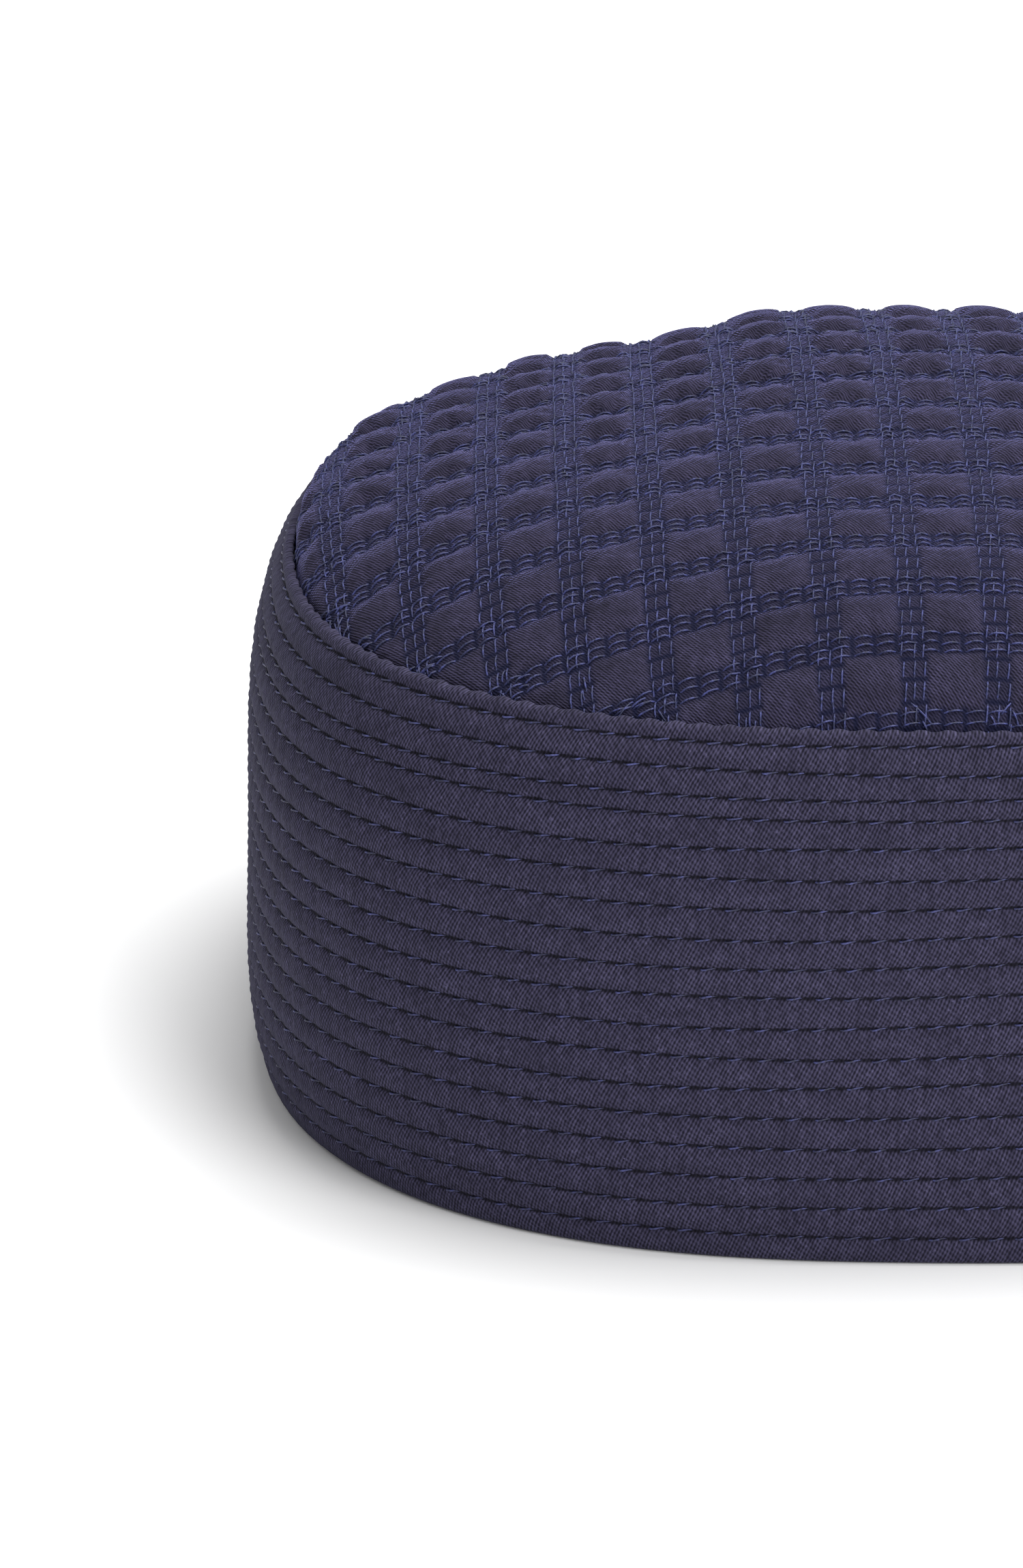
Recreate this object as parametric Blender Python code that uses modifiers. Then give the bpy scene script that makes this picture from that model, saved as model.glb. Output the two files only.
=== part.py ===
"""Quilted round cap: a domed, grid-quilted crown sewn into a tall band with rows of topstitching.

The cap stands on its open rim, +Z up, with its front towards -Y and its origin at the middle of
the rim, on the surface it stands on. Every layer of cloth, each ring of topstitching and each run
of quilting is an object of its own.
"""

import math

import bmesh
import bpy
from mathutils import Vector

MM = 0.001

# The finished cap, measured on its outer cloth.
HALF_WIDTH = 94.5 * MM
DEPTH_RATIO = 0.93
BAND_HEIGHT = 76.5 * MM
CROWN_RISE = 20.5 * MM
PLAN_POWER = 2.55

# How far the band stands out from HALF_WIDTH at each share of its height, rim first.
BAND_SWELL = ((0.0, 0.0), (0.25, 2.2 * MM), (0.5, 1.8 * MM), (0.75, 1.4 * MM), (1.0, -3.7 * MM))

# The crown's profile falls with the second, fourth and eighth power of the share of its radius.
CROWN_FOURTH = 0.22
CROWN_EIGHTH = 0.22

# Cloth and padding.
BAND_CLOTH = 0.7 * MM
FOLD_CLOTH = 0.5 * MM
STIFFENER_CLOTH = 2.0 * MM
BAND_LINING_CLOTH = 0.5 * MM
CROWN_CLOTH = 0.5 * MM
CROWN_LINING_CLOTH = 0.4 * MM
WADDING_LOFT = 1.8 * MM
LAYER_GAP = 0.3 * MM

# Seams and folds.
TURNED_FOLD_DEPTH = 6.0 * MM
HEM_DEPTH = 10.0 * MM
CROWN_ALLOWANCE = 6.0 * MM
CROWN_SINK = 0.5 * MM
LINING_TOP_CLEARANCE = 1.7 * MM
WADDING_EDGE = 0.94
WADDING_TAPER_POWER = 8
FOLD_ROUNDING = 0.25 * MM

# Topstitching round the band.
ROW_COUNT = 18
FIRST_ROW_DROP = 1.8 * MM
UPPER_ROWS = 2
UPPER_ROW_STEP = 3.6 * MM
CLOSE_ROW_STEP = 2.65 * MM
LAST_ROW_HEIGHT = 4.0 * MM
ROW_THREAD_RADIUS = 0.2 * MM
ROW_THREAD_SIDES = 4

# Quilting of the crown. One pass of the machine sews three parallel rows: here one flat strip.
QUILT_PITCH = 11.7 * MM
QUILT_SHIFT = {"lengthwise": -3.9 * MM, "crosswise": -4.3 * MM}
QUILT_TURN = 0.03
QUILT_BOW = -9.2 * MM
QUILT_BOW_EASING = 0.18
QUILT_STRIP_WIDTH = 3.4 * MM
QUILT_STRIP_THICKNESS = 0.25 * MM
QUILT_LIFT = 0.45 * MM
QUILT_EDGE_CLEARANCE = 1.2 * MM
QUILT_SHORTEST = 20.0 * MM
QUILT_SAG = 0.2 * MM

SEGMENTS = 40
CROWN_SHARES = (0.0, 0.2, 0.4, 0.58, 0.74, 0.87, 0.95, 1.0)
MERIDIAN_STEPS = 40

COLLECTION_NAME = "quilted_cap"
BAND_COLOUR = (0.042, 0.038, 0.070, 1.0)
CROWN_COLOUR = (0.060, 0.048, 0.080, 1.0)
THREAD_COLOUR = (0.035, 0.050, 0.180, 1.0)
LINING_COLOUR = (0.030, 0.030, 0.055, 1.0)
PADDING_COLOUR = (0.750, 0.740, 0.710, 1.0)

# Depths below the band's outer face, from the outside in.
FOLD_INSET = BAND_CLOTH + LAYER_GAP
CROWN_INSET = FOLD_INSET + FOLD_CLOTH + LAYER_GAP
CROWN_LINING_INSET = CROWN_INSET + CROWN_CLOTH + LAYER_GAP
CROWN_STACK = CROWN_LINING_INSET + CROWN_LINING_CLOTH
STIFFENER_STACK = FOLD_INSET + STIFFENER_CLOTH
BAND_LINING_INSET = max(CROWN_STACK, STIFFENER_STACK) + LAYER_GAP

SEAM_HEIGHT = BAND_HEIGHT - CROWN_SINK


def clear_scene():
    for obj in list(bpy.data.objects):
        bpy.data.objects.remove(obj, do_unlink=True)


def cloth_material(name, colour, roughness):
    material = bpy.data.materials.new(name)
    material.use_nodes = True
    shader = material.node_tree.nodes["Principled BSDF"]
    shader.inputs["Base Color"].default_value = colour
    shader.inputs["Roughness"].default_value = roughness
    shader.inputs["Metallic"].default_value = 0.0
    return material


# The band's upright profile and the crown's dome.


def band_half_width(height):
    """Half width of the band's outer face at a height, run straight between the swell's points."""
    share = min(max(height / BAND_HEIGHT, 0.0), 1.0)
    for (low, below), (high, above) in zip(BAND_SWELL, BAND_SWELL[1:]):
        if share <= high:
            return HALF_WIDTH + below + (above - below) * (share - low) / (high - low)
    return HALF_WIDTH + BAND_SWELL[-1][1]


def seam_radius():
    return band_half_width(SEAM_HEIGHT) - CROWN_INSET


def crown_fall(share):
    """The share of the crown's rise that is lost at a share of its radius."""
    square = 1.0 - CROWN_FOURTH - CROWN_EIGHTH
    return square * share**2 + CROWN_FOURTH * share**4 + CROWN_EIGHTH * share**8


def crown_fall_rate(share):
    square = 1.0 - CROWN_FOURTH - CROWN_EIGHTH
    return 2.0 * square * share + 4.0 * CROWN_FOURTH * share**3 + 8.0 * CROWN_EIGHTH * share**7


def crown_height(share):
    return SEAM_HEIGHT + CROWN_RISE * (1.0 - crown_fall(share))


def crown_normal(share):
    """The dome's outward normal in its turned profile, as (radius, height)."""
    slope = CROWN_RISE * crown_fall_rate(share) / seam_radius()
    length = math.hypot(slope, 1.0)
    return slope / length, 1.0 / length


def dome_point(share, depth):
    """A point of the turned dome, at a depth below its outer face."""
    across, up = crown_normal(share)
    return (share * seam_radius() - depth * across, crown_height(share) - depth * up)


def seam_corner(depth, inset):
    """Where a dome layer at a depth meets its own skirt, an inset in from the dome's edge."""
    across, up = crown_normal(1.0)
    return (seam_radius() - inset, SEAM_HEIGHT - (depth - inset * across) / up)


def wadding_loft(share):
    return WADDING_LOFT * (1.0 - share**WADDING_TAPER_POWER)


# From turned profiles to oval solids.


def oval(point):
    """Carry a point of a round solid over to the cap's oval plan."""
    radius = math.hypot(point.x, point.y)
    if radius < LAYER_GAP:
        return Vector(point)
    across = abs(point.x / radius)
    along = abs(point.y / radius)
    stretch = (across**PLAN_POWER + along**PLAN_POWER) ** (-1.0 / PLAN_POWER)
    return Vector((point.x * stretch, point.y * stretch * DEPTH_RATIO, point.z))


def turned_oval(name, profile, ring, material, collection):
    """Turn a profile of (radius, height) points, which runs down its outer side, and make it oval."""
    bm = bmesh.new()
    points = [bm.verts.new((radius, 0.0, height)) for radius, height in profile]
    for start, end in zip(points, points[1:]):
        bm.edges.new((start, end))
    if ring:
        bm.edges.new((points[-1], points[0]))
    outline = bpy.data.meshes.new(name + "_outline")
    bm.to_mesh(outline)
    bm.free()
    guide = bpy.data.objects.new(name + "_guide", outline)
    collection.objects.link(guide)
    screw = guide.modifiers.new("turn", "SCREW")
    screw.axis = "Z"
    screw.steps = SEGMENTS
    screw.render_steps = SEGMENTS
    screw.use_merge_vertices = True
    screw.merge_threshold = 0.00001
    graph = bpy.context.evaluated_depsgraph_get()
    mesh = bpy.data.meshes.new_from_object(guide.evaluated_get(graph))
    bpy.data.objects.remove(guide, do_unlink=True)
    for vertex in mesh.vertices:
        vertex.co = oval(vertex.co)
    return place(name, mesh, material, collection)


def place(name, mesh, material, collection):
    mesh.name = name
    mesh.materials.clear()
    mesh.materials.append(material)
    mesh.shade_smooth()
    mesh.set_sharp_from_angle(angle=math.radians(40.0))
    obj = bpy.data.objects.new(name, mesh)
    collection.objects.link(obj)
    return obj


# The band: outer cloth with a turned top fold and a hem, a stiffener and a lining.


def band_point(inset, height):
    return (band_half_width(height) - inset, height)


def upright_heights(bottom, top):
    """Heights between two ends at which the band's swell bends, highest first."""
    inside = [share * BAND_HEIGHT for share, _ in BAND_SWELL]
    inside = [height for height in inside if bottom + HEM_DEPTH / 2 < height < top - HEM_DEPTH / 2]
    return [top, *reversed(inside), bottom]


def sleeve_profile(inset, thickness, bottom, top):
    heights = upright_heights(bottom, top)
    outer = [band_point(inset, height) for height in heights]
    inner = [band_point(inset + thickness, height) for height in reversed(heights)]
    return outer + inner


def band_shell_profile():
    """Outer leg, flat foot, hem leg, the inside of the cloth, and the turned leg at the top."""
    round_off = FOLD_ROUNDING
    fold_back = FOLD_INSET + FOLD_CLOTH
    hem_face = BAND_LINING_INSET + BAND_LINING_CLOTH
    fold_top = BAND_HEIGHT - BAND_CLOTH - round_off
    profile = [band_point(fold_back / 2, BAND_HEIGHT)]
    profile.append(band_point(round_off, BAND_HEIGHT - round_off))
    profile += [band_point(0.0, height) for height in upright_heights(BAND_CLOTH, fold_top)]
    profile += [
        band_point(round_off, round_off),
        band_point(BAND_CLOTH, 0.0),
        band_point(hem_face - BAND_LINING_CLOTH, 0.0),
        band_point(hem_face - round_off / 2, round_off),
        band_point(hem_face, BAND_CLOTH),
        band_point(hem_face, HEM_DEPTH),
        band_point(BAND_LINING_INSET, HEM_DEPTH),
        band_point(BAND_LINING_INSET, BAND_CLOTH),
    ]
    inside = upright_heights(BAND_CLOTH, BAND_HEIGHT - BAND_CLOTH - round_off)
    profile += [band_point(BAND_CLOTH, height) for height in reversed(inside)]
    profile += [
        band_point(FOLD_INSET, fold_top),
        band_point(FOLD_INSET, BAND_HEIGHT - TURNED_FOLD_DEPTH),
        band_point(fold_back, BAND_HEIGHT - TURNED_FOLD_DEPTH),
        band_point(fold_back, fold_top),
        band_point(fold_back - round_off, BAND_HEIGHT - round_off),
    ]
    return profile


def make_band(collection):
    make = turned_oval
    cloth = cloth_material("band_twill", BAND_COLOUR, 0.85)
    make("band_shell", band_shell_profile(), True, cloth, collection)
    stiffener_top = SEAM_HEIGHT - max(TURNED_FOLD_DEPTH, CROWN_ALLOWANCE) - LAYER_GAP
    stiffener = sleeve_profile(FOLD_INSET, STIFFENER_CLOTH, FOLD_INSET, stiffener_top)
    felt = cloth_material("stiffener_felt", PADDING_COLOUR, 0.95)
    make("band_stiffener", stiffener, True, felt, collection)
    lining_top = SEAM_HEIGHT - LINING_TOP_CLEARANCE
    lining = sleeve_profile(BAND_LINING_INSET, BAND_LINING_CLOTH, HEM_DEPTH + LAYER_GAP, lining_top)
    cotton = cloth_material("band_lining_cotton", LINING_COLOUR, 0.9)
    make("band_lining", lining, True, cotton, collection)


# The crown: face cloth, wadding and lining, with the seam allowances tucked behind the band.


def skirted_dome_profile(depth, thickness, skirt_inset):
    """A dome layer that turns down at its edge; depth is a function of the share of the radius."""
    edge = CROWN_SHARES[-1]
    shares = CROWN_SHARES[:-1]
    skirt_end = SEAM_HEIGHT - CROWN_ALLOWANCE
    outer = [dome_point(share, depth(share)) for share in shares]
    outer.append(seam_corner(depth(edge), skirt_inset))
    inner = [dome_point(share, depth(share) + thickness) for share in reversed(shares)]
    skirt = [
        band_point(CROWN_INSET + skirt_inset, skirt_end),
        band_point(CROWN_INSET + skirt_inset + thickness, skirt_end),
        seam_corner(depth(edge) + thickness, skirt_inset + thickness),
    ]
    return outer + skirt + inner


def wadding_profile():
    shares = [share for share in CROWN_SHARES if share < WADDING_EDGE] + [WADDING_EDGE]
    face = CROWN_CLOTH + LAYER_GAP
    outer = [dome_point(share, face) for share in shares]
    inner = [dome_point(share, face + wadding_loft(share)) for share in reversed(shares)]
    return outer + inner


def lining_depth(share):
    return CROWN_CLOTH + wadding_loft(share) + 2.0 * LAYER_GAP


def make_crown(collection):
    make = turned_oval
    shell = skirted_dome_profile(lambda share: 0.0, CROWN_CLOTH, 0.0)
    make("crown_shell", shell, False, cloth_material("crown_twill", CROWN_COLOUR, 0.85), collection)
    fibre = cloth_material("wadding_fibre", PADDING_COLOUR, 1.0)
    make("crown_wadding", wadding_profile(), False, fibre, collection)
    skirt_inset = CROWN_LINING_INSET - CROWN_INSET
    lining = skirted_dome_profile(lining_depth, CROWN_LINING_CLOTH, skirt_inset)
    cotton = cloth_material("crown_lining_cotton", LINING_COLOUR, 0.9)
    make("crown_lining", lining, False, cotton, collection)


# Topstitching: one ring of thread for each row round the band.


def row_heights():
    """Heights of the rows, top row first; the rows under the close pair share what is left."""
    heights = [BAND_HEIGHT - FIRST_ROW_DROP]
    heights += [heights[0] - UPPER_ROW_STEP * (row + 1) for row in range(UPPER_ROWS)]
    heights.append(heights[-1] - CLOSE_ROW_STEP)
    left = ROW_COUNT - len(heights)
    step = (heights[-1] - LAST_ROW_HEIGHT) / left
    start = heights[-1]
    heights += [start - step * (row + 1) for row in range(left)]
    return heights


def make_topstitching(collection):
    stand_off = LAYER_GAP + ROW_THREAD_RADIUS
    for row, height in enumerate(row_heights(), start=1):
        centre = band_half_width(height) + stand_off
        profile = []
        for side in range(ROW_THREAD_SIDES):
            turn = math.radians(90.0) - math.tau * side / ROW_THREAD_SIDES
            across = ROW_THREAD_RADIUS * math.cos(turn)
            profile.append((centre + across, height + ROW_THREAD_RADIUS * math.sin(turn)))
        name = f"topstitch_row_{row:02d}"
        thread = cloth_material(name + "_thread", THREAD_COLOUR, 0.5)
        turned_oval(name, profile, True, thread, collection)


# Quilting: the crown's cloth was quilted flat, so its straight rows bend over the dome.


def meridian_lengths(reach):
    """Lengths along the dome from its apex, at equal shares of a radius that ends at reach."""
    lengths = [0.0]
    for step in range(MERIDIAN_STEPS):
        share = (step + 0.5) / MERIDIAN_STEPS
        fall = CROWN_RISE * crown_fall_rate(share)
        lengths.append(lengths[-1] + math.hypot(reach, fall) / MERIDIAN_STEPS)
    return lengths


def plan_reach(direction):
    """Distance in plan from the apex to the crown's edge in a direction."""
    across = abs(math.cos(direction))
    along = abs(math.sin(direction)) / DEPTH_RATIO
    return seam_radius() * (across**PLAN_POWER + along**PLAN_POWER) ** (-1.0 / PLAN_POWER)


def cloth_share(x, y):
    """The share of the crown's radius at which a point of the flat cloth comes to lie."""
    distance = math.hypot(x, y)
    lengths = meridian_lengths(plan_reach(math.atan2(y, x)))
    for step in range(MERIDIAN_STEPS):
        if distance <= lengths[step + 1]:
            rest = (distance - lengths[step]) / (lengths[step + 1] - lengths[step])
            return (step + rest) / MERIDIAN_STEPS
    return distance / lengths[-1]


def on_dome(x, y, lift):
    """Lay a point of the flat cloth on the dome, raised by a lift along the dome's normal."""
    share = cloth_share(x, y)
    direction = math.atan2(y, x)
    reach = plan_reach(direction)
    slope = CROWN_RISE * crown_fall_rate(share) / reach
    length = math.hypot(slope, 1.0)
    radius = share * reach + lift * slope / length
    height = crown_height(share) + lift / length
    return Vector((radius * math.cos(direction), radius * math.sin(direction), height))


def quilting_place(direction, offset, along):
    """A point of the flat cloth on a pass of quilting.

    The grid lies turned on the crown. Crosswise passes bow towards the front at the cap's sides,
    and the bow eases off towards the back.
    """
    if direction == "crosswise":
        bow = QUILT_BOW + QUILT_BOW_EASING * offset
        x, y = along, offset + bow * (along / HALF_WIDTH) ** 2
    else:
        x, y = offset, along
    across, up = math.cos(QUILT_TURN), math.sin(QUILT_TURN)
    return x * across - y * up, x * up + y * across


def pass_end(place_on_cloth, side):
    """How far along the cloth a pass of quilting runs before it meets the crown's edge."""
    limit = 1.0 - QUILT_EDGE_CLEARANCE / seam_radius()
    near = 0.0
    far = 2.0 * HALF_WIDTH
    for _ in range(MERIDIAN_STEPS):
        middle = (near + far) / 2.0
        edges = (place_on_cloth(middle * side, -1.0), place_on_cloth(middle * side, 1.0))
        if max(cloth_share(*edge) for edge in edges) < limit:
            near = middle
        else:
            far = middle
    return near * side


def quilting_spans():
    """Straight spans in a pass, so that none sags below the dome's curve by more than QUILT_SAG.

    The spans are spaced as a sine, widest at the middle, so the sag is worst part of the way out.
    """
    step = 1.0 / MERIDIAN_STEPS
    slopes = [CROWN_RISE * crown_fall_rate(n * step) / seam_radius() for n in range(MERIDIAN_STEPS + 1)]
    worst = 0.0
    for number, (near, far) in enumerate(zip(slopes, slopes[1:])):
        share = (number + 0.5) * step
        length = seam_radius() * step * math.hypot(1.0, (near + far) / 2.0)
        bend = (math.atan(far) - math.atan(near)) / length
        worst = max(worst, bend * (1.0 - share**2))
    return math.ceil(HALF_WIDTH * math.pi / math.sqrt(8.0 * QUILT_SAG / worst))


def quilting_strip(name, place_on_cloth, lift, collection):
    """A flat strip over the dome along one pass, with shorter spans towards its steeper ends.

    It makes nothing where the pass would be too short.
    """
    low = pass_end(place_on_cloth, -1.0)
    high = pass_end(place_on_cloth, 1.0)
    if high - low < QUILT_SHORTEST:
        return None
    bm = bmesh.new()
    bmesh.ops.create_grid(bm, x_segments=1, y_segments=quilting_spans(), size=1.0)
    for vertex in bm.verts:
        along = low + (high - low) * (1.0 + math.sin(vertex.co.y * math.pi / 2.0)) / 2.0
        x, y = place_on_cloth(along, vertex.co.x)
        vertex.co = on_dome(x, y, lift)
    bmesh.ops.recalc_face_normals(bm, faces=bm.faces)
    if sum(face.normal.z for face in bm.faces) < 0.0:
        bmesh.ops.reverse_faces(bm, faces=bm.faces)
    mesh = bpy.data.meshes.new(name)
    bm.to_mesh(mesh)
    bm.free()
    obj = place(name, mesh, cloth_material(name + "_thread", THREAD_COLOUR, 0.5), collection)
    thicken = obj.modifiers.new("thread_thickness", "SOLIDIFY")
    thicken.thickness = QUILT_STRIP_THICKNESS
    thicken.offset = 1.0
    return obj


def make_quilting(collection):
    """Crosswise passes lie on the cloth and lengthwise passes, sewn second, lie over them."""
    over = QUILT_LIFT + QUILT_STRIP_THICKNESS + LAYER_GAP
    lifts = {"crosswise": QUILT_LIFT, "lengthwise": over}
    most = math.ceil(2.0 * HALF_WIDTH / QUILT_PITCH)
    for direction, lift in lifts.items():
        number = 1
        for step in range(-most, most + 1):
            offset = QUILT_SHIFT[direction] + step * QUILT_PITCH

            def place_on_cloth(along, side, offset=offset, direction=direction):
                edge = offset + side * QUILT_STRIP_WIDTH / 2.0
                return quilting_place(direction, edge, along)

            name = f"quilting_{direction}_{number:02d}"
            if cloth_share(*place_on_cloth(0.0, 0.0)) >= 1.0:
                continue
            if quilting_strip(name, place_on_cloth, lift, collection):
                number += 1


def main():
    clear_scene()
    collection = bpy.data.collections.new(COLLECTION_NAME)
    bpy.context.scene.collection.children.link(collection)
    make_band(collection)
    make_crown(collection)
    make_topstitching(collection)
    make_quilting(collection)


main()
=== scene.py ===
"""The looks of a quilted round cap: twill cloth, puffed quilting and every single stitch.

The cap stands on its open rim with its front towards -Y. All sizes are in metres.
"""

import math
from functools import partial
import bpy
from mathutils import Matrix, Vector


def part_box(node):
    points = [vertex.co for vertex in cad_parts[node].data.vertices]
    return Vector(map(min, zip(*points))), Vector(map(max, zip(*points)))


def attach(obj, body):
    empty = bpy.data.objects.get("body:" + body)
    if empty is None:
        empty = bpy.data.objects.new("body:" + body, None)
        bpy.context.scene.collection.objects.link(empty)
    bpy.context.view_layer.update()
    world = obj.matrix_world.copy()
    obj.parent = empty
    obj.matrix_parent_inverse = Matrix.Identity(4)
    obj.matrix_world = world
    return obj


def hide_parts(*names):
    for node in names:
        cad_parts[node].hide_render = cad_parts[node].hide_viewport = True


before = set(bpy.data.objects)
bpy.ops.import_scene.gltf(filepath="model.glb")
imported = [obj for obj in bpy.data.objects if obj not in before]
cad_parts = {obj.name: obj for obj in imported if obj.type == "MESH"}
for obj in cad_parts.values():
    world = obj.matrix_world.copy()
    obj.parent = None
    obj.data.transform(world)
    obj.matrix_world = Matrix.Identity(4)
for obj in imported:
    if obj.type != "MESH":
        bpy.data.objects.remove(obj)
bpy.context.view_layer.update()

from types import SimpleNamespace

import bpy
import numpy as np
from bpy.props import FloatProperty, FloatVectorProperty, IntProperty, PointerProperty

bl_info = {
    "name": "Quilted Round Cap",
    "version": (1, 0, 0),
    "blender": (4, 5, 0),
    "location": "View3D > Sidebar > Cap",
    "description": "Builds a quilted round cap with its cloth, padding and stitches",
    "category": "Add Mesh",
}

MM = 0.001
BAND_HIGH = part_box("band_shell")[1]
CROWN_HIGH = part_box("crown_shell")[1]
LINING_LOW, LINING_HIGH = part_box("band_lining")
STIFFENER_LOW, STIFFENER_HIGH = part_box("band_stiffener")
ROW_NODES = sorted(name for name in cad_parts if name.startswith("topstitch_row_"))
PASS_NODES = sorted(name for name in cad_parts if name.startswith("quilting_"))

# The band's outer face stands out from the rim's half width by these amounts, rim first.
BAND_SWELL = (0.0, 2.2 * MM, 1.8 * MM, 1.4 * MM, -3.7 * MM)
SWELL_CURVE = np.polyfit(np.linspace(0.0, 1.0, len(BAND_SWELL)), BAND_SWELL, len(BAND_SWELL) - 1)

# The dome falls from its apex with these powers of the share of its radius.
DOME_POWERS = ((2, 0.56), (4, 0.22), (8, 0.22))

# Depths below the band's outer face.
BAND_CLOTH = 0.7 * MM
FOLD_CLOTH = 0.5 * MM
LAYER_GAP = 0.3 * MM
FOLD_INSET = BAND_CLOTH + LAYER_GAP
CROWN_INSET = FOLD_INSET + FOLD_CLOTH + LAYER_GAP
LINING_INSET = 3.3 * MM
LINING_CLOTH = 0.5 * MM
STIFFENER_CLOTH = 2.0 * MM
FOLD_DEPTH = 6.0 * MM
HEM_DEPTH = 10.0 * MM
CROWN_SINK = 0.5 * MM
CROWN_ALLOWANCE = 6.0 * MM

ARC_SAMPLES = 2880
REACH_STEPS = 60
SHARE_STEPS = 240
LENGTH_STEPS = 1200


def linear(code):
    """Turn an sRGB hex colour into linear red, green and blue."""
    values = [int(code[place : place + 2], 16) / 255.0 for place in (0, 2, 4)]
    return [v / 12.92 if v <= 0.04045 else ((v + 0.055) / 1.055) ** 2.4 for v in values]


def smooth_step(low, high, value):
    share = np.clip((value - low) / (high - low), 0.0, 1.0)
    return share * share * (3.0 - 2.0 * share)


def length(name, description, default):
    return FloatProperty(
        name=name, description=description, default=default, unit="LENGTH", precision=5
    )


def factor(name, description, default):
    return FloatProperty(name=name, description=description, default=default, subtype="FACTOR")


def colour(name, description, code):
    return FloatVectorProperty(
        name=name, description=description, default=linear(code), subtype="COLOR", size=3
    )


class CapSizes(bpy.types.PropertyGroup):
    """Overall sizes of the cap, which start from the frame."""

    half_width: length("Half width", "Half of the rim's outer width", BAND_HIGH.x - max(BAND_SWELL))
    depth_ratio: factor("Depth ratio", "Depth of the cap over its width", BAND_HIGH.y / BAND_HIGH.x)
    band_height: length("Band height", "Height of the upright band", BAND_HIGH.z)
    crown_rise: length(
        "Crown rise", "Height of the dome over its seam", CROWN_HIGH.z - BAND_HIGH.z + CROWN_SINK
    )
    plan_power: FloatProperty(
        name="Plan power", description="Squareness of the plan, 2 is an ellipse", default=2.55
    )
    belly_power: FloatProperty(
        name="Belly squareness", description="Added to the plan power half way up", default=0.25
    )
    sink_depth: length("Sunk front", "How far the soft band has sunk in at the front", 5.5 * MM)
    sink_place: length("Sunk place", "Distance of the sunk place from the middle", 34.0 * MM)
    sink_width: length("Sunk width", "Spread of the sunk place along the band", 28.0 * MM)
    rim_tuck: length("Rim tuck", "How far the rim is drawn in towards the back", 0.8 * MM)
    rim_droop: length("Rim droop", "How far the rim droops towards the back", 1.5 * MM)
    edge_bulge: length("Edge bulge", "How far the crown's edge puffs out over the seam", 3.3 * MM)
    front_fullness: length("Front fullness", "How full the crown stands behind its front seam", 2.5 * MM)
    foot_flare: length("Foot flare", "How far the foot spreads forwards at the front", 1.8 * MM)


class QuiltSizes(bpy.types.PropertyGroup):
    """Sizes of the crown's quilting."""

    pitch: length("Pitch", "Distance between the passes of quilting", 11.7 * MM)
    turn: FloatProperty(
        name="Turn", description="Turn of the grid on the crown", default=0.03, subtype="ANGLE"
    )
    bow: length("Bow", "How far crosswise passes bow at the cap's sides", -9.2 * MM)
    bow_easing: factor("Bow easing", "How much the bow eases off towards the back", 0.18)
    row_step: length("Row step", "Distance between the three rows of a pass", 1.5 * MM)
    puff: length("Puff", "Height of a pillow over the rows beside it", 1.0 * MM)
    valley: length("Valley", "Depth of the rows under the dome", 0.15 * MM)
    crosswise_sink: length(
        "Crosswise sink", "How much deeper crosswise rows lie than lengthwise rows", 0.75 * MM
    )
    stitch: length("Stitch", "Length of a quilting stitch", 3.1 * MM)
    thread: length("Thread", "Thickness of the quilting thread", 0.28 * MM)


class BandSizes(bpy.types.PropertyGroup):
    """Sizes of the band's topstitching."""

    stitches: IntProperty(
        name="Stitches", description="Stitches in each row round the band", default=156
    )
    thread: length("Thread", "Thickness of the topstitching thread", 0.3 * MM)
    crease: length("Crease", "Depth of the crease along a row", 0.3 * MM)
    puff: length("Puff", "How far the cloth puffs between two rows", 0.36 * MM)
    wander: length("Wander", "How far a row strays from its height", 0.22 * MM)


class CapColours(bpy.types.PropertyGroup):
    """Colours of the cloth and the thread."""

    band: colour("Band twill", "Dark yarns of the band's twill", "1B1928")
    band_light: colour("Band highlights", "Raised yarns of the band's twill", "5A5675")
    crown: colour("Crown twill", "Dark yarns of the crown's twill", "14121F")
    crown_light: colour("Crown highlights", "Raised yarns of the crown's twill", "575275")
    thread: colour("Band thread", "Topstitching thread", "2C2E50")
    quilting: colour("Quilting thread", "Thread of the quilting", "1B2250")
    lining: colour("Lining", "Cotton lining", "2B2B3D")
    felt: colour("Felt", "Stiffener of the band", "C9C4B8")
    wadding: colour("Wadding", "Fibre filling of the crown", "E4E2DC")
    floor: colour("Floor", "Pale floor", "FAFAFA")


def cap_of(context):
    """Gather the settings and what is worked out from them once."""
    scene = context.scene
    cap = SimpleNamespace(
        size=scene.cap_sizes,
        quilt=scene.cap_quilt,
        band=scene.cap_band,
        colour=scene.cap_colours,
    )
    cap.seam_height = cap.size.band_height - CROWN_SINK
    cap.seam_radius = float(band_half_width(cap, cap.seam_height)) - CROWN_INSET
    cap.angles = arc_angles(cap)
    cap.laying = laying_table(cap)
    return cap


# The band's upright surface.


def band_half_width(cap, height):
    """Half width of the band's outer face at a height."""
    share = np.clip(height / cap.size.band_height, 0.0, 1.0)
    return cap.size.half_width + np.polyval(SWELL_CURVE, share)


def oval(cap, angle, radius, height):
    """A point of the cap's oval plan; the plan is squarer half way up the band."""
    share = np.clip(height / cap.size.band_height, 0.0, 1.0)
    power = cap.size.plan_power + cap.size.belly_power * 4.0 * share * (1.0 - share)
    across, along = np.cos(angle), np.sin(angle)
    stretch = (np.abs(across) ** power + np.abs(along) ** power) ** (-1.0 / power)
    return radius * across * stretch, radius * along * stretch * cap.size.depth_ratio


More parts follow.
